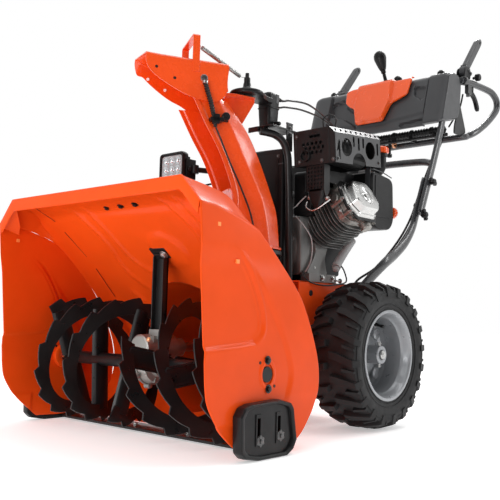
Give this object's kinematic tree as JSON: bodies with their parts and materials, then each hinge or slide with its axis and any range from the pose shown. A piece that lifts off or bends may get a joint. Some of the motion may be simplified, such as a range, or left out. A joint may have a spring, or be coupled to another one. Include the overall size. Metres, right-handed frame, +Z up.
{
  "type": "two stage snowblower",
  "caption": "Walk-behind two-stage snowblower: auger housing, turning chute with tilting deflector, engine, lugged wheels and a dash with levers and loop handles.",
  "frame": {"origin": "on the ground, under the middle of the machine's length and width", "axes": "+Z up, -Y ahead towards the intake, +X to the operator's left"},
  "size_m": [0.812, 1.6361, 1.35],
  "materials": {
    "housing_orange": "gloss powder coat",
    "chute_orange": "gloss powder coat",
    "orange_plastic": "gloss moulded cover",
    "black_paint": "satin powder coat",
    "black_plastic": "fine moulded grain",
    "grey_plastic": "fine moulded grain",
    "tube_grey": "satin powder coat",
    "cast_metal": "as cast",
    "bright_metal": "polished",
    "steel": "zinc plated",
    "rim_grey": "satin paint",
    "tyre": "moulded rubber",
    "rubber": "cable jacket and belts",
    "muffler": "heat proof matt paint"
  },
  "bodies": {
    "root": {"housing_wrap": "housing_orange", "housing_side_left": "housing_orange", "housing_side_right": "housing_orange", "impeller_drum": "housing_orange", "scraper_bar": "black_paint", "skid_shoe_left": "black_plastic", "skid_shoe_right": "black_plastic", "gearbox_brace": "black_paint", "auger_gearbox": "cast_metal", "chute_ring": "black_plastic", "chute_post": "black_paint", "chute_actuator": "black_plastic", "headlight": "black_plastic", "chassis_frame": "housing_orange", "belt_cover": "black_plastic", "auger_belt": "rubber", "engine_block": "cast_metal", "valve_cover": "bright_metal", "muffler": "muffler", "muffler_guard": "muffler", "plug_shroud": "black_plastic", "recoil_housing": "black_paint", "carburettor_box": "black_plastic", "fuel_tank": "black_plastic", "lower_handle_left": "tube_grey", "lower_handle_right": "tube_grey", "control_cables": "rubber"},
    "auger": {"auger_left": "black_paint", "auger_right": "black_paint", "auger_shaft": "steel"},
    "impeller": {"impeller": "black_paint", "impeller_shaft": "steel", "impeller_pulley": "cast_metal"},
    "crank": {"engine_pulley": "steel"},
    "wheel_left": {"tyre_left": "tyre", "rim_left": "rim_grey", "axle_left": "steel"},
    "wheel_right": {"tyre_right": "tyre", "rim_right": "rim_grey", "axle_right": "steel"},
    "chute": {"chute": "chute_orange", "chute_bracket": "chute_orange", "deflector_spring": "steel", "deflector_cable": "rubber"},
    "deflector": {"deflector": "chute_orange", "deflector_handle": "chute_orange"},
    "handle": {"upper_handle": "tube_grey", "loop_handle": "tube_grey", "dash_console": "grey_plastic", "dash_cover": "orange_plastic"},
    "auger_lever": {"auger_lever": "grey_plastic"},
    "drive_lever": {"drive_lever": "grey_plastic"},
    "trigger_left": {"trigger_left": "black_plastic"},
    "trigger_right": {"trigger_right": "black_plastic"},
    "gimbal": {"joystick_gimbal": "black_plastic"},
    "joystick": {"chute_joystick": "black_plastic"},
    "speed_lever": {"speed_lever": "black_plastic"},
    "recoil_grip": {"recoil_grip": "black_plastic"},
    "fuel_cap": {"fuel_cap": "orange_plastic"},
    "choke_knob": {"choke_knob": "orange_plastic"}
  },
  "joints": [
    {"name": "impeller_spin", "type": "hinge", "parent": "root", "child": "impeller", "pos_m": [0, -0.31805, 0.215], "axis": [0, 1, 0], "continuous": true},
    {"name": "auger_spin", "type": "hinge", "parent": "root", "child": "auger", "pos_m": [0, -0.59605, 0.176], "axis": [1, 0, 0], "continuous": true},
    {"name": "crank_spin", "type": "hinge", "parent": "root", "child": "crank", "pos_m": [0, -0.16205, 0.505], "axis": [0, 1, 0], "continuous": true},
    {"name": "wheel_left_spin", "type": "hinge", "parent": "root", "child": "wheel_left", "pos_m": [0.2885, -0.04805, 0.203], "axis": [1, 0, 0], "continuous": true},
    {"name": "wheel_right_spin", "type": "hinge", "parent": "root", "child": "wheel_right", "pos_m": [-0.2885, -0.04805, 0.203], "axis": [1, 0, 0], "continuous": true},
    {"name": "chute_turn", "type": "hinge", "parent": "root", "child": "chute", "pos_m": [0.025, -0.29305, 0.5], "axis": [0, 0, 1], "range_deg": [-65, 100]},
    {"name": "deflector_tilt", "type": "hinge", "parent": "chute", "child": "deflector", "pos_m": [-0.0225, -0.37532, 0.893], "axis": [0.866, -0.5, 0], "range_deg": [0, 40], "stiffness_Nm_per_rad": 3, "springref_deg": -91.67, "deforming": ["deflector_spring", "deflector_cable"]},
    {"name": "handle_height", "type": "slide", "parent": "root", "child": "handle", "axis": [0, 0.4229, 0.9062], "range_m": [0, 0.07], "deforming": ["control_cables"]},
    {"name": "auger_lever", "type": "hinge", "parent": "handle", "child": "auger_lever", "pos_m": [0.266, 0.60195, 1.194], "axis": [-1, 0, 0], "range_deg": [0, 44], "stiffness_Nm_per_rad": 2, "springref_deg": -22.92},
    {"name": "drive_lever", "type": "hinge", "parent": "handle", "child": "drive_lever", "pos_m": [-0.266, 0.60195, 1.194], "axis": [-1, 0, 0], "range_deg": [0, 44], "stiffness_Nm_per_rad": 2, "springref_deg": -22.92},
    {"name": "trigger_left", "type": "hinge", "parent": "handle", "child": "trigger_left", "pos_m": [0.272, 0.63195, 1.126], "axis": [1, 0, 0], "range_deg": [0, 16], "stiffness_Nm_per_rad": 0.6, "springref_deg": -28.65},
    {"name": "trigger_right", "type": "hinge", "parent": "handle", "child": "trigger_right", "pos_m": [-0.272, 0.63195, 1.126], "axis": [1, 0, 0], "range_deg": [0, 16], "stiffness_Nm_per_rad": 0.6, "springref_deg": -28.65},
    {"name": "joystick_side", "type": "hinge", "parent": "handle", "child": "gimbal", "pos_m": [0.004, 0.50795, 1.168], "axis": [0, 1, 0], "range_deg": [-20, 20]},
    {"name": "joystick_pitch", "type": "hinge", "parent": "gimbal", "child": "joystick", "pos_m": [0.004, 0.50795, 1.168], "axis": [1, 0, 0], "range_deg": [0, 14.5]},
    {"name": "speed_lever", "type": "hinge", "parent": "handle", "child": "speed_lever", "pos_m": [0.038, 0.52995, 1.16], "axis": [1, 0, 0], "range_deg": [-12, 12]},
    {"name": "recoil_pull", "type": "slide", "parent": "root", "child": "recoil_grip", "axis": [0, 1, 0], "range_m": [0, 0.5], "stiffness_N_per_m": 20, "springref_m": -0.2},
    {"name": "fuel_cap_turn", "type": "hinge", "parent": "root", "child": "fuel_cap", "pos_m": [0.156, 0.21995, 0.85], "axis": [0, 0, 1], "range_deg": [0, 90]},
    {"name": "choke_turn", "type": "hinge", "parent": "root", "child": "choke_knob", "pos_m": [0.205, 0.20995, 0.64], "axis": [0, 1, 0], "range_deg": [0, 90]}
  ],
  "couplings": [
    {"joint": "auger_spin", "follows": "impeller_spin", "ratio": -0.1},
    {"joint": "joystick_side", "follows": "chute_turn", "ratio": -0.15},
    {"joint": "joystick_pitch", "follows": "deflector_tilt", "ratio": 0.35}
  ]
}
